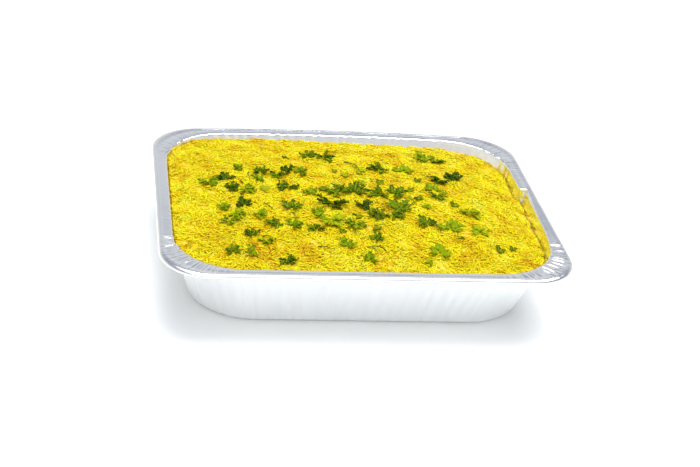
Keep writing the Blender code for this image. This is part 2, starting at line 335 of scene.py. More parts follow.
def rim_row(inset, height, fold_share, curl_share=0.0, skirt=0.0):
    """Ring of flange or rolled edge, with its folds; skirt is how much it follows the flutes"""
    across = np.clip((inset - CURL_INNER) / (FLANGE - CURL_INNER), 0, 1)
    push = np.where(right_side, dent(rim_ring(round_tray, inset, height)[:, 1]), 0.0) * across**1.5
    curled = fold_field(curl_folds, 0.5)
    points = rim_ring(round_tray, inset, height, flutes * skirt + curled * curl_share + push)
    points[:, 2] += fold_field(flange_folds, 1 - inset / FLANGE) * fold_share - push * DENT_SINK
    return points


flange_under = HEIGHT - FLANGE_DIP - FOIL
tube = BEAD / 2
rows = [wall_ring(round_tray, 0.0, inset) for inset in BASE_INSETS]
for turn in np.linspace(0, math.pi / 2, TURN_ROWS):
    height, inset = BASE_TURN * (1 - math.cos(turn)), BASE_TURN * (1 - math.sin(turn))
    rows.append(wall_row(height, inset, turn / math.pi * 2))
wall_heights = np.linspace(BASE_TURN, flange_under - FLANGE_TURN, WALL_ROWS)[1:]
rows += [wall_row(height, 0.0, 1.0) for height in wall_heights]
outer_rows = len(rows)
# Under the flange, from the wall out: inset, lift, and shares of the folds, the curl's folds and flutes
UNDERSIDE = (
    (FLANGE - FLANGE_TURN * 0.4, -FLANGE_TURN * 0.4, 0.3, 0.0, 0.7),
    (FLANGE - FLANGE_TURN, 0.0, 0.8, 0.0, 0.4),
    (0.0070, 0.0002, 1.0, 0.0, 0.0),
    (BEAD, 0.0001, 0.8, 0.2, 0.0),
)
for inset, lift, fold_share, curl_share, skirt in UNDERSIDE:
    rows.append(rim_row(inset, flange_under + lift, fold_share, curl_share, skirt))
for turn in np.linspace(math.pi, math.pi * 2.5, CURL_ROWS):
    rows.append(rim_row(tube - tube * math.cos(turn), HEIGHT - tube + tube * math.sin(turn), 0.2, 1.0))
# Over the flange, from the curl in to the wall: inset, and depth as a share of the flange's dip
CROWN = (
    (0.0032, 0.14), (0.0043, 0.42), (0.0052, 0.60), (0.0064, 0.53), (0.0080, 0.55), (0.0094, 0.66),
    (0.0106, 0.82), (0.0114, 0.94), (0.0118, 1.5),
)
for inset, dip in CROWN:
    skirt = np.clip((inset - SKIRT_FROM) / SKIRT_EASE, 0, 1)
    fold_share = min(1.0, inset / FOLD_FADE) - 0.5 * skirt
    rows.append(rim_row(inset, HEIGHT - FLANGE_DIP * dip, fold_share, skirt=skirt * 0.9))
rows += [wall_row(HEIGHT - depth, FOIL, 1.0) for depth in INNER_DEPTHS]
rows.append(wall_row(BASE_TURN + FOIL, FOIL, 0.6))
rows += [wall_ring(round_tray, FOIL, inset) for inset in (BASE_TURN + FOIL, INNER_BASE)]

around = len(round_tray["quarter"])
foil_points = np.concatenate(rows)
dents = ripple(foil_points, HANDLING_SIZE, 3) * HANDLING_DEPTH
stiff = np.clip(foil_points[:, 2] / STIFF_HEIGHT, 0, 1)
outward = foil_points - np.array([0.0, 0.0, HEIGHT * 0.6])
outward[:, 2] *= 0.5
outward /= np.linalg.norm(outward, axis=1)[:, None]
foil_points += outward * (dents * stiff)[:, None]
foil_points[:, 2] = np.maximum(foil_points[:, 2], 0.0)


def skin_faces(row_count, count, first_centre):
    """Quads between rings, and a fan at each end to its centre point"""
    place = np.arange(count)
    after = (place + 1) % count
    faces = []
    for row in range(row_count - 1):
        low = row * count
        quads = [low + place, low + after, low + count + after, low + count + place]
        faces += np.column_stack(quads).tolist()
    last = (row_count - 1) * count
    faces += np.column_stack([np.full(count, first_centre), after, place]).tolist()
    faces += np.column_stack([np.full(count, first_centre + 1), last + place, last + after]).tolist()
    return faces


foil_points = np.concatenate([foil_points, [[0, 0, 0], [0, 0, FOIL]]])
foil_faces = skin_faces(len(rows), around, len(rows) * around)

# Aluminium foil, cold rolled: bright and soft-edged in its reflections, a little cloudy where it has
# been handled, duller on the drawn outside of its walls. Its smudges are 14 mm and its wrinkles 3.5 mm
# across. The lines of the rolls are far finer in the real foil, and drawn 0.7 mm apart so that they show.
foil_finish, tree, shader = new_material("aluminium foil", "#F8FAFB")
place = add_node(tree, "ShaderNodeTexCoord").outputs["Object"]
smudge = add_node(tree, "ShaderNodeTexNoise", Vector=place, Scale=1 / 0.014, Detail=4.0, Roughness=0.6)
cloudy = add_node(
    tree, "ShaderNodeMapRange", Value=smudge.outputs["Fac"], From_Min=0.3, From_Max=0.7,
    To_Min=0.19, To_Max=0.27,
)
drawn = add_node(tree, "ShaderNodeAttribute", {"attribute_name": "drawn"})
dulled = add_node(
    tree, "ShaderNodeMath", {"operation": "MULTIPLY_ADD"}, _0=drawn.outputs["Fac"], _1=0.42,
    _2=cloudy.outputs["Result"],
)
stretched = add_node(tree, "ShaderNodeMapping", Vector=place, Scale=(1.0, 14.0, 14.0))
roll_lines = add_node(
    tree, "ShaderNodeTexNoise", Vector=stretched.outputs["Vector"], Scale=1 / 0.010, Detail=3.0
)
wrinkle = add_node(tree, "ShaderNodeTexNoise", Vector=place, Scale=1 / 0.0035, Detail=5.0, Roughness=0.55)
relief = add_node(
    tree, "ShaderNodeMath", {"operation": "MULTIPLY_ADD"}, _0=roll_lines.outputs["Fac"], _1=0.25,
    _2=wrinkle.outputs["Fac"],
)
bump = add_node(tree, "ShaderNodeBump", Height=relief.outputs[0], Strength=0.03, Distance=0.0002)
shader.inputs["Metallic"].default_value = 1.0
tree.links.new(dulled.outputs[0], shader.inputs["Roughness"])
tree.links.new(bump.outputs["Normal"], shader.inputs["Normal"])
drawn_wall = np.arange(len(foil_points)) < outer_rows * around
foil_tray = add_mesh("foil_tray", foil_points, foil_faces, foil_finish, drawn=drawn_wall)
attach(foil_tray, "root")
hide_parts("tray")

# Bed of rice
# Steamed long-grain rice, pressed level and a little domed, and lower along the tray's right side.
# The bed is what shows in the gaps between the loose grains: packed grains, their yellow painted deeper
# and more orange than the grains' own as painted shade for those gaps.
EDGE_DEPTH = {"front_left": 0.0035, "front_right": 0.0090, "back_left": 0.0035, "back_right": 0.0095}
RIGHT_SAG = 0.0028
MOUND_RISE = 0.0025
MOUND_POWER = 3
SWELL = 0.0007
SWELL_LENGTH = (0.071, 0.058)
BED_DEPTH = 0.0007
BED_STEPS = {"long": 120, "short": 84, "corner": 40}
BED_RINGS = 44
BED_GAP = 0.0005
BED_FLOOR = FOIL + 0.0006
BED_SIDE = FOIL + BED_GAP + 0.0004
BED_BRIM = FOIL + BED_GAP + 0.0006
BED_INSETS = (0.030, BASE_TURN + FOIL + BED_GAP)
BED_HEIGHTS = (0.004, 0.020, 0.036)
BED_LUMPS = ((0.0052, 21, 0.0004), (0.0024, 22, 0.0002))
LUMP_WAVES = 24
DENTED_FROM = 0.43


def rice_level(x, y):
    """Height of the rice's surface"""
    half_x = LENGTH / 2 - FLANGE
    half_y = WIDTH / 2 - FLANGE + np.where(y > 0, bow(x, np.full_like(x, WIDTH / 2), HEIGHT), 0.0)
    across = np.clip(x / half_x, -1, 1)
    along = np.clip(y / half_y, -1, 1)
    right = (1 + across) / 2
    back = (1 + along) / 2
    front_depth = EDGE_DEPTH["front_left"] * (1 - right) + EDGE_DEPTH["front_right"] * right
    back_depth = EDGE_DEPTH["back_left"] * (1 - right) + EDGE_DEPTH["back_right"] * right
    depth = front_depth * (1 - back) + back_depth * back + RIGHT_SAG * right**3 * (1 - along**2)
    mound = (1 - np.abs(across) ** MOUND_POWER) * (1 - np.abs(along) ** MOUND_POWER)
    swell = SWELL * np.sin(x / SWELL_LENGTH[0] * math.tau) * np.cos(y / SWELL_LENGTH[1] * math.tau)
    return HEIGHT - depth + (MOUND_RISE + depth + swell) * mound


round_bed = stations(BED_STEPS)
bed_rows = [wall_ring(round_bed, BED_FLOOR, inset) for inset in BED_INSETS]
bed_rows += [wall_ring(round_bed, height, BED_SIDE) for height in BED_HEIGHTS]
half_way = wall_ring(round_bed, HEIGHT / 2, BED_BRIM)
brim = wall_ring(round_bed, HEIGHT, BED_BRIM)
reach_up = (brim - half_way) * 2
for _ in range(4):
    level = rice_level(brim[:, 0], brim[:, 1]) - BED_DEPTH
    brim = half_way + reach_up * ((level - HEIGHT / 2) / HEIGHT)[:, None]
brim[:, 0] += np.where(brim[:, 0] > LENGTH * DENTED_FROM, dent(brim[:, 1]), 0.0)
for step in range(BED_RINGS):
    share = 1 - step / BED_RINGS
    points = brim * [share, share, 1]
    flat = points * [1, 1, 0]
    lumps = sum(ripple(flat, size, seed, LUMP_WAVES) * rise for size, seed, rise in BED_LUMPS)
    points[:, 2] = rice_level(points[:, 0], points[:, 1]) - BED_DEPTH + lumps
    bed_rows.append(points)
bed_count = len(round_bed["quarter"])
middle_top = float(rice_level(np.zeros(1), np.zeros(1))[0]) - BED_DEPTH
bed_points = np.concatenate(bed_rows + [[[0, 0, BED_FLOOR], [0, 0, middle_top]]])
bed_faces = skin_faces(len(bed_rows), bed_count, len(bed_rows) * bed_count)

# Steamed rice, dyed with turmeric: damp and soft, with specks 3 mm across. Its yellow is partly the rice's
# own and partly painted shade, deeper and more orange than the grains', for the gaps between them.
bed_finish_painted_shade, tree, shader = new_material("steamed rice, painted gap shade", "#E8BE00")
place = add_node(tree, "ShaderNodeTexCoord").outputs["Object"]
speck = add_node(tree, "ShaderNodeTexNoise", Vector=place, Scale=1 / 0.003, Detail=3.0)
# Painted shade: yellows deeper and more orange than the grains' own, for the gaps between the grains
shade = add_node(
    tree, "ShaderNodeValToRGB", None, [(0.3, "#DEB000"), (0.5, "#E8BE00"), (0.7, "#F0CE00")],
    Fac=speck.outputs["Fac"],
)
tree.links.new(shade.outputs["Color"], shader.inputs["Base Color"])
shader.inputs["Roughness"].default_value = 0.5
rice_bed = add_mesh("rice_bed", bed_points, bed_faces, bed_finish_painted_shade)
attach(rice_bed, "root")
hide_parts("rice")

# Grains of rice
# Long-grain rice, 6 to 10 mm long cooked, slim, slightly bent and pointed at both ends. The grains lie
# every way on the bed in four layers, flat in the main, with some ends sticking up.
GRAIN_LENGTH = 0.0086
LENGTH_SPREAD = 0.0011
LENGTH_LIMITS = (0.0058, 0.0105)
GRAIN_WIDTH = 0.00165
WIDTH_RANGE = (0.88, 1.16)
GRAIN_FLAT = 0.60
GRAIN_BEND = 0.055
BEND_MIDDLE = 0.3
GRAIN_SIDES = 5
GRAIN_RINGS = ((-0.66, 0.72), (0.0, 1.0), (0.66, 0.72))
LAYERS = (
    {"pitch": 0.0038, "height": -0.0008, "tilt": 4, "jitter": 0.0015, "scatter": 1.2},
    {"pitch": 0.0034, "height": -0.0004, "tilt": 4, "jitter": 0.0013, "scatter": 0.45},
    {"pitch": 0.0033, "height": 0.0000, "tilt": 5, "jitter": 0.0013, "scatter": 0.45},
    {"pitch": 0.0062, "height": 0.0003, "tilt": 5, "jitter": 0.0028, "scatter": 1.4},
)
ROW_SHARE = 0.866
UNEVEN = 0.0002
DRIFT_SIZE = 0.034
DRIFT_TURN = 2.4
HEAP_SIZE = 0.019
HEAP_RISE = 0.0006
EDGE_ROOM = 0.0009
EDGE_SINK = 0.0015
GRAIN_CLEAR = 0.0004
GRAIN_UNDER = 0.0006
WALL_PUSH = 1.1
grain_draw = np.random.default_rng(23)


def room_inside(x, y, height):
    """How far a place lies inside the tray's wall at a height"""
    share = height / HEIGHT
    half_x = BASE_HALF[0] + (LENGTH / 2 - FLANGE - BASE_HALF[0]) * share - FOIL
    half_y = BASE_HALF[1] + (WIDTH / 2 - FLANGE - BASE_HALF[1]) * share - FOIL
    radius = BASE_CORNER + (FLANGE_CORNER - BASE_CORNER) * share - FOIL
    push = np.where(x > 0, dent(y) * dent_share(height), 0.0)
    return room_within(x - push, y - bow(x, y, height), half_x, half_y, radius)


def slope(x, y):
    """Rise of the rice's surface along X and along Y"""
    step = 0.001
    return (
        (rice_level(x + step, y) - rice_level(x - step, y)) / (2 * step),
        (rice_level(x, y + step) - rice_level(x, y - step)) / (2 * step),
    )


centres, axes = [], []
for layer in LAYERS:
    pitch = layer["pitch"]
    across = np.arange(-LENGTH / 2, LENGTH / 2, pitch)
    along = np.arange(-WIDTH / 2, WIDTH / 2 + BACK_BOW, pitch * ROW_SHARE)
    x, y = (part.ravel() for part in np.meshgrid(across, along))
    x = x + (np.arange(len(x)) // len(across) % 2) * pitch / 2
    x = x + grain_draw.uniform(-1, 1, len(x)) * layer["jitter"]
    y = y + grain_draw.uniform(-1, 1, len(y)) * layer["jitter"]
    inside = room_inside(x, y, rice_level(x, y) - EDGE_SINK) > EDGE_ROOM
    x, y = x[inside], y[inside]
    flat = np.column_stack([x, y, 0 * x])
    drift = ripple(flat, DRIFT_SIZE, 33, 6) * DRIFT_TURN
    turn = drift + grain_draw.normal(0, layer["scatter"], len(x))
    tilt = np.radians(grain_draw.normal(0, layer["tilt"], len(x)))
    rise_x, rise_y = slope(x, y)
    heading = np.column_stack([np.cos(turn), np.sin(turn), np.zeros(len(x))])
    heading[:, 2] = rise_x * heading[:, 0] + rise_y * heading[:, 1] + np.tan(tilt)
    heading /= np.linalg.norm(heading, axis=1)[:, None]
    z = rice_level(x, y) + layer["height"] + grain_draw.uniform(-UNEVEN, UNEVEN, len(x))
    z += ripple(flat, HEAP_SIZE, 31) * HEAP_RISE
    centres.append(np.column_stack([x, y, z]))
    axes.append(heading)
centres = np.concatenate(centres)
axes = np.concatenate(axes)
grain_length = np.clip(grain_draw.normal(GRAIN_LENGTH, LENGTH_SPREAD, len(centres)), *LENGTH_LIMITS)
grain_width = GRAIN_WIDTH * grain_draw.uniform(*WIDTH_RANGE, len(centres))
tint = grain_draw.uniform(0, 1, len(centres))
bend = grain_draw.normal(0, GRAIN_BEND, len(centres)) * grain_length
sides = np.cross(axes, [0, 0, 1.0])
sides /= np.linalg.norm(sides, axis=1)[:, None]
for _ in range(3):
    short = np.zeros(len(centres))
    for share in (-1.0, -0.6, 0.0, 0.6, 1.0):
        bent = sides * (bend * (share**2 - BEND_MIDDLE))[:, None]
        spots = centres + axes * (grain_length * share / 2)[:, None] + bent
        girths = grain_width / 2 * (1 - abs(share) ** 3)
        wall_room = room_inside(spots[:, 0], spots[:, 1], spots[:, 2] - GRAIN_UNDER) - girths
        short = np.maximum(short, GRAIN_CLEAR - wall_room)
    towards = -centres[:, :2] / np.array([LENGTH, WIDTH]) ** 3
    towards /= np.linalg.norm(towards, axis=1)[:, None]
    centres[:, :2] += towards * (short * WALL_PUSH)[:, None]


def grain_mesh(name, chosen, finish):
    """One mesh of slim bent grains"""
    centre, axis = centres[chosen], axes[chosen]
    length, width = grain_length[chosen], grain_width[chosen]
    side = sides[chosen]
    up = np.cross(side, axis)
    count = len(centre)
    points = []
    for share, girth in GRAIN_RINGS:
        bent = side * (bend[chosen] * (share**2 - BEND_MIDDLE))[:, None]
        middle = centre + axis * (length * share / 2)[:, None] + bent
        for corner_step in range(GRAIN_SIDES):
            angle = math.tau * corner_step / GRAIN_SIDES
            reach = side * math.cos(angle) + up * math.sin(angle) * GRAIN_FLAT
            points.append(middle + reach * (width * girth / 2)[:, None])
    bent = side * (bend[chosen] * (1 - BEND_MIDDLE))[:, None]
    for share in (-1, 1):
        points.append(centre + axis * (length * share / 2)[:, None] + bent)
    per_grain = len(points)
    points = np.stack(points, axis=1).reshape(-1, 3)
    pattern = []
    for band in range(len(GRAIN_RINGS) - 1):
        for step in range(GRAIN_SIDES):
            low, low_next = band * GRAIN_SIDES + step, band * GRAIN_SIDES + (step + 1) % GRAIN_SIDES
            pattern.append((low, low + GRAIN_SIDES, low_next + GRAIN_SIDES))
            pattern.append((low, low_next + GRAIN_SIDES, low_next))
    top = (len(GRAIN_RINGS) - 1) * GRAIN_SIDES
    for step in range(GRAIN_SIDES):
        after = (step + 1) % GRAIN_SIDES
        pattern.append((per_grain - 2, step, after))
        pattern.append((per_grain - 1, top + after, top + step))
    faces = (np.arange(count)[:, None, None] * per_grain + np.array(pattern)).reshape(-1, 3)
    return add_mesh(name, points, faces, finish, tint=np.repeat(tint[chosen], per_grain))


def rice_finish(name, stops):
    """Cooked rice: soft, damp and slightly see-through, each grain a shade of its own, in 16 mm patches"""
    made, tree, shader = new_material(name, stops[len(stops) // 2][1])
    own = add_node(tree, "ShaderNodeAttribute", {"attribute_name": "tint"})
    place = add_node(tree, "ShaderNodeTexCoord").outputs["Object"]
    patch = add_node(tree, "ShaderNodeTexNoise", Vector=place, Scale=1 / 0.016, Detail=2.0)
    spread = add_node(
        tree, "ShaderNodeMapRange", Value=patch.outputs["Fac"], From_Min=0.3, From_Max=0.7,
        To_Min=-0.50, To_Max=1.30,
    )
    mixed = add_node(
        tree, "ShaderNodeMath", {"operation": "MULTIPLY_ADD"}, _0=own.outputs["Fac"], _1=0.2,
        _2=spread.outputs["Result"],
    )
    shade = add_node(tree, "ShaderNodeValToRGB", None, stops, Fac=mixed.outputs[0])
    tree.links.new(shade.outputs["Color"], shader.inputs["Base Color"])
    shader.inputs["Roughness"].default_value = 0.48
    shader.inputs["IOR"].default_value = 1.42
    shader.inputs["Specular IOR Level"].default_value = 0.14
    shader.inputs["Subsurface Weight"].default_value = 0.85
    shader.inputs["Subsurface Radius"].default_value = (1.0, 0.75, 0.12)
    shader.inputs["Subsurface Scale"].default_value = 0.0022
    return made


# Darker, orange patches where the dye has gathered: place on the plane of the rim and reach, in mm
DYE_SPOTS = (
    (-4, 29, 4), (20, 27, 4), (27, 74, 3.5), (36, 43, 3.5), (58, 20, 3), (84, -28, 2.5), (-12, -29, 4),
    (-90, -83, 6), (-117, -99, 4), (-127, -103, 4), (-83, 14, 3), (-147, -54, 4), (-49, -102, 5),
    (36, 106, 4), (-47, 102, 4), (-16, 92, 3), (11, -104, 6), (-53, -88, 4), (-84, -97, 4), (42, -98, 4),
    (76, -95, 4), (116, -51, 3), (48, 68, 3), (144, -80, 5),
)
DYED_SHARE = 0.7
PATCH_SIZE = 0.020
PATCH_MIX = 0.55
UNDYED = 0.99
EYE = Vector((-0.2169, -1.0838, 0.6110))


def on_rice(x, y):
    """Place on the rice behind a spot in mm on the rim's plane, along the line from the eye"""
    spot = Vector((x / 1000, y / 1000, HEIGHT))
    sight = (spot - EYE) / (EYE.z - HEIGHT)
    place = spot
    for _ in range(8):
        level = float(rice_level(np.array([place.x]), np.array([place.y]))[0])
        place = spot + sight * (HEIGHT - level)
    return np.array([place.x, place.y])


patches = ripple(centres * [1, 1, 0], PATCH_SIZE, 41) + grain_draw.normal(0, PATCH_MIX, len(centres))
kind = patches.argsort().argsort() / len(centres) * UNDYED
for x, y, reach in DYE_SPOTS:
    near = np.hypot(*(centres[:, :2] - on_rice(x, y)).T) < reach / 1000
    kind = np.where(near & (grain_draw.uniform(0, 1, len(kind)) < DYED_SHARE), 1.0, kind)
# Each shade of grain: its share of the ranked grains, and its colours from deep to light
GRAIN_KINDS = (
    ("yellow", "turmeric yellow", 0.20, 0.47, ("#DCB700", "#E7C700", "#EED402")),
    ("lemon", "lemon yellow", 0.47, 0.73, ("#E0C000", "#EACC03", "#F1D70E")),
    ("bright", "bright yellow", 0.73, 0.985, ("#E6C600", "#EED10E", "#F4DB26")),
    ("deep", "deep golden", 0.0, 0.20, ("#D5A800", "#E1B900", "#EBCA00")),
    ("saffron", "saffron orange", 0.985, 1.01, ("#DC9A04", "#E0A604", "#E4B404")),
)
for name, shade_name, low, high, codes in GRAIN_KINDS:
    finish = rice_finish(f"cooked rice, {shade_name}", list(zip((0.0, 0.5, 1.0), codes)))
    grains = grain_mesh(f"rice_grains_{name}", (kind >= low) & (kind < high), finish)
    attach(grains, "root")
    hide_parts("rice")

# Parsley
# Fresh parsley, chopped: leaves 10 to 22 mm long, in three toothed leaflets, and small scraps. They lie
# on the rice, their tips curling up. Each leaf has its place on the plane of the rim, its length, its
# turn in degrees, the rise of its tips and its shade, and each scrap the first four, in mm.
LEAVES = (
    (79, 78, 22, 90, 4.0, 1), (-27, 79, 13, 80, 3.0, 1), (-12, 76, 14, 300, 3.0, 1),
    (94, 43, 18, 120, 3.5, 0), (80, 36, 12, 230, 2.0, 0), (54, 55, 15, 60, 3.0, 1),
    (31, 57, 15, 200, 3.0, 1), (-37, 47, 12, 45, 2.0, 1), (-49, 50, 12, 150, 3.0, 0),
    (-59, 39, 11, 260, 3.0, 0), (-72, 46, 11, 80, 3.5, 1), (-74, 31, 11, 190, 2.0, 1),
    (-90, 51, 11, 180, 2.0, 1), (-103, 32, 14, 100, 3.0, 0), (-117, 22, 15, 280, 3.0, 1),
    (-99, 14, 12, 30, 2.0, 0), (-85, 10, 12, 330, 3.0, 1), (-52, 17, 14, 240, 2.0, 1),
    (-32, 9, 11, 70, 2.0, 2), (-15, 11, 17, 160, 3.0, 0), (4, 14, 19, 80, 4.5, 1),
    (-18, -12, 20, 270, 3.0, 0), (24, 10, 17, 200, 3.0, 0), (40, 11, 17, 30, 3.0, 1),
    (74, 6, 12, 280, 2.0, 1), (72, 22, 14, 100, 3.0, 2), (-91, -15, 14, 100, 3.0, 0),
    (-107, -22, 11, 150, 2.0, 2), (-97, -32, 11, 330, 2.0, 1), (-105, -46, 13, 260, 3.0, 2),
    (-51, -18, 14, 60, 3.0, 1), (-78, -32, 12, 330, 2.0, 1), (-31, -27, 13, 160, 2.0, 1),
    (-22, -44, 16, 290, 3.0, 2), (-70, -47, 12, 190, 2.0, 2), (-53, -48, 12, 40, 2.0, 1),
    (-37, -54, 11, 100, 3.0, 1), (-15, -79, 11, 80, 3.0, 1), (-89, -65, 11, 120, 3.0, 1),
    (-78, -78, 10, 280, 2.0, 2), (-105, -93, 11, 80, 3.0, 0), (-91, -97, 10, 330, 3.0, 2),
    (-64, -108, 12, 300, 3.0, 1), (-1, -102, 10, 90, 3.0, 1), (-4, -48, 14, 250, 3.0, 2),
    (7, -13, 14, 280, 3.0, 0), (15, -29, 14, 170, 2.0, 0), (30, -31, 16, 300, 3.0, 0),
    (38, -14, 17, 60, 3.0, 0), (9, -68, 10, 70, 3.0, 1), (96, -23, 15, 280, 3.0, 2),
    (55, -41, 16, 110, 3.0, 1), (75, -48, 17, 60, 3.0, 1), (96, -53, 15, 90, 3.0, 2),
    (56, -89, 16, 80, 3.0, 1),
)
SCRAPS = (
    (15, 50, 10, 300), (53, 20, 9, 70), (57, 3, 9, 0), (29, 31, 10, 90), (12, 30, 9, 120),
    (0, 43, 8, 90), (62, 37, 9, 75), (0, -32, 9, 200), (61, -12, 9, 0), (13, -52, 9, 30),
    (85, -7, 9, 170), (44, -107, 10, 240), (107, -83, 10, 60), (117, -81, 8, 60), (-16, -59, 8, 280),
    (-48, 73, 7, 180), (-71, 14, 10, 90), (79, -66, 6, 20), (-8, 49, 6, 90),
)
STALK_REACH = 0.30
LEAF_UNITS = 1.17
LEAFLETS = ((0, 0.30, 0.74), (-64, 0.12, 0.68), (64, 0.12, 0.68))
LOBES = ((-42, 0.84, 0.33), (42, 0.84, 0.33), (0, 1.0, 0.36))
LEAF_THICKNESS = 0.0003
LEAF_CLEAR = 0.0008
CREST_LIMIT = 0.0030
# A lobe: its steps, its least half width, its ruffles and teeth, and how much each lobe differs
LOBE_STEPS = 11
LOBE_ACROSS = 2
LOBE_SPARE = 0.00025
LOBE_RUFFLE = 0.00045
LOBE_RANGE = (0.7, 1.25)
TEETH = 3.4
TEETH_RANGE = (0.75, 1.3)
TOOTH_DEPTH = 0.64
TOOTH_SHIFT = 0.35
SWAY = 0.12
LEAFLET_SWING = 14
LOBE_SWING = 16
LEAFLET_RISE = 0.0006
LEAFLET_TINT = 0.2
CURL_RANGE = (0.0, 1.2)
SCRAP_LOBES = (-20, 22)
SCRAP_SWING = 8
SCRAP_RANGE = (0.7, 1.0)
SCRAP_WIDTH = 0.30
SCRAP_CURL = 0.0010
leaf_draw = np.random.default_rng(7)


def bearing(angle):
    """Level direction at an angle"""
    return np.array([math.cos(angle), math.sin(angle)])


def lobe(root, heading, reach, width, curl, lift):
    """Points and ribs of one lobe: a wedge that widens to a toothed end, folded along its rib"""
    along = bearing(heading)
    side = np.array([-along[1], along[0]])
    sway = leaf_draw.uniform(-SWAY, SWAY)
    wave = leaf_draw.uniform(0, math.tau)
    teeth = TEETH * leaf_draw.uniform(*TEETH_RANGE)
    points, ribs = [], []
    for step in range(LOBE_STEPS + 1):
        share = step / LOBE_STEPS
        body = 2.0 * (0.08 + 0.92 * share) * (1 - share) ** 0.58
        middle = root + along * reach * share + side * reach * sway * share * (1 - share) * 2
        for across in range(-LOBE_ACROSS, LOBE_ACROSS + 1):
            off = across / LOBE_ACROSS
            shift = TOOTH_SHIFT if across > 0 else 0.0
            tooth = 1 - TOOTH_DEPTH * abs(math.sin((share * teeth + shift) * math.pi))
            half = width * reach * body * tooth + LOBE_SPARE
            spot = middle + side * off * half
            crest = min(curl, CREST_LIMIT) * (0.12 + 0.88 * share**1.5) + abs(off) ** 1.3 * half * 0.6
            crest += LOBE_RUFFLE * math.sin(share * 11 + across * 1.9 + wave)
            level = float(rice_level(spot[:1], spot[1:])[0])
            points.append((spot[0], spot[1], level + lift + crest))
            ribs.append(max(0.0, 1 - abs(off) * 2.2) * (1 - share * 0.6))
    return np.array(points), np.array(ribs)


def blade_faces(rows_count, across_count, offset, under):
    """Upper, lower and edge faces of a grid with its copy below it"""
    faces = []
    for row in range(rows_count - 1):
        for column in range(across_count - 1):
            a = offset + row * across_count + column
            b, c, d = a + 1, a + across_count + 1, a + across_count
            faces.append((a, d, c, b))
            faces.append((a + under, b + under, c + under, d + under))
    rim = [offset + column for column in range(across_count)]
    rim += [offset + row * across_count + across_count - 1 for row in range(1, rows_count)]
    rim += [offset + (rows_count - 1) * across_count + column for column in range(across_count - 2, -1, -1)]
    rim += [offset + row * across_count for row in range(rows_count - 2, 0, -1)]
    for step, here in enumerate(rim):
        after = rim[(step + 1) % len(rim)]
        faces.append((here, after, after + under, here + under))
    return faces


def add_blade(store, points, ribs, tint_value):
    """Adds a thin closed blade to a store of points, faces and values"""
    offset = len(store["points"])
    under = len(points)
    store["points"] += points.tolist() + (points - [0, 0, LEAF_THICKNESS]).tolist()
    store["rib"] += ribs.tolist() * 2
    store["tint"] += [tint_value] * (2 * under)
    store["faces"] += blade_faces(LOBE_STEPS + 1, 2 * LOBE_ACROSS + 1, offset, under)


def parsley_finish(name, stops, rib_code):
    """Fresh leaf: waxy green in 4.5 mm mottles, with paler ribs, a little light passing through"""
    made, tree, shader = new_material(name, stops[len(stops) // 2][1])
    own = add_node(tree, "ShaderNodeAttribute", {"attribute_name": "tint"})
    rib = add_node(tree, "ShaderNodeAttribute", {"attribute_name": "rib"})
    place = add_node(tree, "ShaderNodeTexCoord").outputs["Object"]
    mottle = add_node(
        tree, "ShaderNodeTexNoise", Vector=place, Scale=1 / 0.0045, Detail=4.0, Roughness=0.65
    )
    mixed = add_node(
        tree, "ShaderNodeMath", {"operation": "MULTIPLY_ADD"}, _0=mottle.outputs["Fac"], _1=3.2,
        _2=own.outputs["Fac"],
    )
    half = add_node(tree, "ShaderNodeMath", {"operation": "SUBTRACT"}, _0=mixed.outputs[0], _1=1.6)
    shade = add_node(tree, "ShaderNodeValToRGB", None, stops, Fac=half.outputs[0])
    ribbed = add_node(
        tree, "ShaderNodeMix", {"data_type": "RGBA"}, _0=rib.outputs["Fac"], _6=shade.outputs["Color"],
        _7=linear(rib_code),
    )
    tree.links.new(ribbed.outputs[2], shader.inputs["Base Color"])
    bump = add_node(tree, "ShaderNodeBump", Height=mottle.outputs["Fac"], Strength=0.5, Distance=0.0003)
    tree.links.new(bump.outputs["Normal"], shader.inputs["Normal"])
    shader.inputs["Roughness"].default_value = 0.60
    shader.inputs["IOR"].default_value = 1.42
    shader.inputs["Specular IOR Level"].default_value = 0.08
    shader.inputs["Subsurface Weight"].default_value = 0.12
    shader.inputs["Subsurface Radius"].default_value = (0.4, 1.0, 0.1)
    shader.inputs["Subsurface Scale"].default_value = 0.0006
    return made


PARSLEY_KINDS = (
    ("dark", "dark", ("#243A00", "#486000", "#728600"), "#6C8000"),
    ("green", "green", ("#304800", "#587000", "#8A9E00"), "#88A004"),
    ("light", "light", ("#405800", "#6A8200", "#9CAC04"), "#A2B008"),
    ("scraps", "chopped fine", ("#3C5000", "#687C00", "#9AA804"), "#98A408"),
)
stores = [{"points": [], "faces": [], "rib": [], "tint": [], "nodes": []} for _ in PARSLEY_KINDS]
for number, (leaf_x, leaf_y, size, turn, curl, shade) in enumerate(LEAVES, 1):
    store = stores[shade]
    unit = size / 1000 / LEAF_UNITS
    heading = math.radians(turn)
    root = on_rice(leaf_x, leaf_y) - bearing(heading) * unit * (1 - STALK_REACH) / 2
    tint_value = leaf_draw.uniform(0, 1)
    for leaflet_turn, distance, scale in LEAFLETS:
        facing = heading + math.radians(leaflet_turn + leaf_draw.uniform(-LEAFLET_SWING, LEAFLET_SWING))
        leaflet_root = root + bearing(facing) * distance * unit
        leaflet_tint = tint_value + leaf_draw.uniform(-LEAFLET_TINT, LEAFLET_TINT)
        rise = leaf_draw.uniform(0.0, LEAFLET_RISE)
        for spread, reach, width in LOBES:
            swing = facing + math.radians(spread + leaf_draw.uniform(-LOBE_SWING, LOBE_SWING))
            lobe_reach = reach * scale * unit * leaf_draw.uniform(*LOBE_RANGE)
            crest = curl / 1000 * leaf_draw.uniform(*CURL_RANGE)
            blade, ribs = lobe(leaflet_root, swing, lobe_reach, width, crest, LEAF_CLEAR + rise)
            add_blade(store, blade, ribs, leaflet_tint)
    store["nodes"].append(f"leaf_{number:02d}")
scrap_store = stores[-1]
scrap_store["nodes"].append("rice")
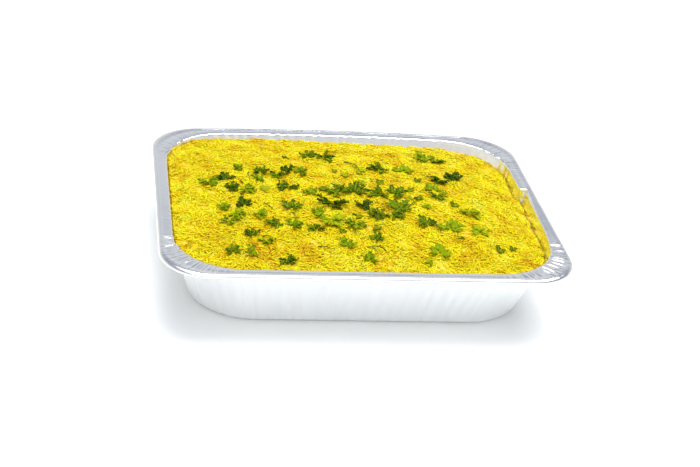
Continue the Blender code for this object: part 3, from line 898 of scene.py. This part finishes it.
for scrap_x, scrap_y, size, turn in SCRAPS:
    heading = math.radians(turn)
    root = on_rice(scrap_x, scrap_y) - bearing(heading) * size / 2000
    tint_value = leaf_draw.uniform(0, 1)
    for spread in SCRAP_LOBES:
        swing = math.radians(spread + leaf_draw.uniform(-SCRAP_SWING, SCRAP_SWING))
        reach = size / 1000 * leaf_draw.uniform(*SCRAP_RANGE)
        blade, ribs = lobe(root, heading + swing, reach, SCRAP_WIDTH, SCRAP_CURL, LEAF_CLEAR)
        add_blade(scrap_store, blade, ribs, tint_value)
for (name, shade_name, codes, rib_code), store in zip(PARSLEY_KINDS, stores):
    finish = parsley_finish(f"fresh parsley, {shade_name}", list(zip((0.0, 0.5, 1.0), codes)), rib_code)
    leaves = add_mesh(
        f"parsley_{name}", store["points"], store["faces"], finish, rib=store["rib"], tint=store["tint"]
    )
    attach(leaves, "root")
    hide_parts(*store["nodes"])

# Parsley stalks
# Bits of thin juicy stalk left among the leaves, chopped with them, bent and lying on the rice. Both
# ends of each are given on the plane of the rim, in mm.
STALKS = (
    (3, 69, 18, 45), (-14, 27, -3, 17), (-13, 21, -3, 10), (-92, 3, -91, -10), (-74, -11, -69, -23),
    (-82, 44, -83, 29), (-58, 30, -59, 17), (45, 3, 53, -6), (45, -13, 55, -2), (60, -35, 64, -54),
    (11, -49, 21, -46), (-42, 9, -36, 5), (27, 70, 36, 60), (24, 56, 34, 61), (0, -83, 7, -88),
    (-54, -27, -51, -37), (-81, -70, -74, -69), (-39, -84, -30, -86), (-91, 27, -89, 21), (33, -5, 44, 3),
    (-17, 12, -2, 24), (72, 46, 76, 36), (14, -88, 4, -81),
)
STALK_ROUND = (0.00050, 0.00028)
STALK_LIFT = 0.0009
STALK_HUMP = (0.0008, 0.0022)
STALK_STEPS = 9
STALK_SIDES = 6
stalk_points, stalk_faces = [], []
for from_x, from_y, to_x, to_y in STALKS:
    start, end = on_rice(from_x, from_y), on_rice(to_x, to_y)
    run = end - start
    side = np.array([-run[1], run[0]]) / np.linalg.norm(run)
    sway = leaf_draw.uniform(-SWAY, SWAY) * np.linalg.norm(run)
    hump = leaf_draw.uniform(*STALK_HUMP)
    offset = len(stalk_points)
    for step in range(STALK_STEPS + 1):
        share = step / STALK_STEPS
        spot = start + run * share + side * sway * math.sin(share * math.pi * 1.4)
        level = float(rice_level(spot[:1], spot[1:])[0])
        middle = np.array([spot[0], spot[1], level + STALK_LIFT + hump * math.sin(share * math.pi)])
        thick = STALK_ROUND[0] + (STALK_ROUND[1] - STALK_ROUND[0]) * share
        for corner_step in range(STALK_SIDES):
            angle = math.tau * corner_step / STALK_SIDES
            reach = np.array([side[0] * math.cos(angle), side[1] * math.cos(angle), math.sin(angle)])
            stalk_points.append((middle + reach * thick).tolist())
    for step in range(STALK_STEPS):
        for corner_step in range(STALK_SIDES):
            low = offset + step * STALK_SIDES + corner_step
            low_next = offset + step * STALK_SIDES + (corner_step + 1) % STALK_SIDES
            stalk_faces.append((low, low + STALK_SIDES, low_next + STALK_SIDES, low_next))
    stalk_faces.append(tuple(range(offset, offset + STALK_SIDES)))
    last = offset + STALK_STEPS * STALK_SIDES
    stalk_faces.append(tuple(range(last + STALK_SIDES - 1, last - 1, -1)))

# Parsley stalk: smooth and juicy, olive green, mottled every 6 mm
stalk_finish, tree, shader = new_material("parsley stalk", "#4C6400")
shader.inputs["Roughness"].default_value = 0.5
shader.inputs["Specular IOR Level"].default_value = 0.12
place = add_node(tree, "ShaderNodeTexCoord").outputs["Object"]
mottle = add_node(tree, "ShaderNodeTexNoise", Vector=place, Scale=1 / 0.006, Detail=2.0)
shade = add_node(
    tree, "ShaderNodeValToRGB", None, [(0.3, "#2E4400"), (0.5, "#4A6200"), (0.7, "#7C8400")],
    Fac=mottle.outputs["Fac"],
)
tree.links.new(shade.outputs["Color"], shader.inputs["Base Color"])
stalks = add_mesh("parsley_stalks", stalk_points, stalk_faces, stalk_finish)
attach(stalks, "root")

# Table, light and camera
# A plain white table under broad soft light, as a pack shot has, seen at the photograph's angle.
# Its matt white paint shows as plain white, with a soft shadow.
FLOOR_REACH = 8.0
FLOOR_DROP = 0.0003
FLOOR_CORNERS = ((-1, -1), (1, -1), (1, 1), (-1, 1))
floor_mesh = bpy.data.meshes.new("floor")
floor_points = [(x * FLOOR_REACH, y * FLOOR_REACH, 0) for x, y in FLOOR_CORNERS]
floor_mesh.from_pydata(floor_points, [], [(0, 1, 2, 3)])
floor = bpy.data.objects.new("floor", floor_mesh)
bpy.context.scene.collection.objects.link(floor)
floor_finish, tree, shader = new_material("white table", "#F6F7F7")
shader.inputs["Roughness"].default_value = 0.5
floor_mesh.materials.append(floor_finish)
floor.location.z = -FLOOR_DROP

# The studio round the tray, which its foil mirrors: white and cream low down, greyer and darker higher
# up, and a little higher on this scale to the right and the back
world = bpy.data.worlds.new("studio")
bpy.context.scene.world = world
world.use_nodes = True
tree = world.node_tree
sky = tree.nodes["Background"]
heading = add_node(tree, "ShaderNodeTexCoord").outputs["Generated"]
parts = add_node(tree, "ShaderNodeSeparateXYZ", Vector=heading)
leaned = add_node(
    tree, "ShaderNodeMath", {"operation": "MULTIPLY_ADD"}, _0=parts.outputs["X"], _1=0.15,
    _2=parts.outputs["Z"],
)
leaned_back = add_node(
    tree, "ShaderNodeMath", {"operation": "MULTIPLY_ADD"}, _0=parts.outputs["Y"], _1=0.10,
    _2=leaned.outputs[0],
)
grade = add_node(
    tree, "ShaderNodeValToRGB", None,
    [
        (0.0, "#E6E9EA"), (0.14, "#EAE6DA"), (0.24, "#EBE0C8"), (0.34, "#CFD1D6"), (0.50, "#D4D7DB"),
        (0.56, "#C9CCD3"), (0.605, "#9296A4"), (0.70, "#6C7080"), (0.82, "#74788A"), (1.0, "#DADBDD"),
    ],
    Fac=leaned_back.outputs[0],
)
tree.links.new(grade.outputs["Color"], sky.inputs["Color"])
sky.inputs["Strength"].default_value = 1.04

for name, strength, spread, direction in (
    ("soft_key", 2.70, 52, (-0.18, -0.28, -1.0)),
    ("soft_fill", 1.05, 46, (0.06, 0.34, -0.94)),
):
    light = bpy.data.lights.new(name, "SUN")
    light.energy = strength
    light.angle = math.radians(spread)
    lamp = bpy.data.objects.new(name, light)
    lamp.rotation_euler = Vector(direction).to_track_quat("-Z", "Y").to_euler()
    bpy.context.scene.collection.objects.link(lamp)

AZIMUTH = math.radians(-8.814)
ELEVATION = math.radians(28.046)
ROLL = math.radians(5.470)
back = Vector((
    math.sin(AZIMUTH) * math.cos(ELEVATION), -math.cos(AZIMUTH) * math.cos(ELEVATION), math.sin(ELEVATION),
))
right = (-back).cross(Vector((0, 0, 1))).normalized()
up = right.cross(-back)
camera_x = right * math.cos(ROLL) + up * math.sin(ROLL)
camera_y = up * math.cos(ROLL) - right * math.sin(ROLL)
camera_data = bpy.data.cameras.new("camera")
camera_data.sensor_width = 36.0
camera_data.lens = 76.906
camera_data.shift_x = 0.0857
camera_data.shift_y = -0.0025
camera_data.clip_end = 50.0
camera = bpy.data.objects.new("camera", camera_data)
camera.matrix_world = Matrix.Translation(EYE) @ Matrix((camera_x, camera_y, back)).transposed().to_4x4()
bpy.context.scene.collection.objects.link(camera)
bpy.context.scene.camera = camera
bpy.context.scene.view_settings.view_transform = "Standard"
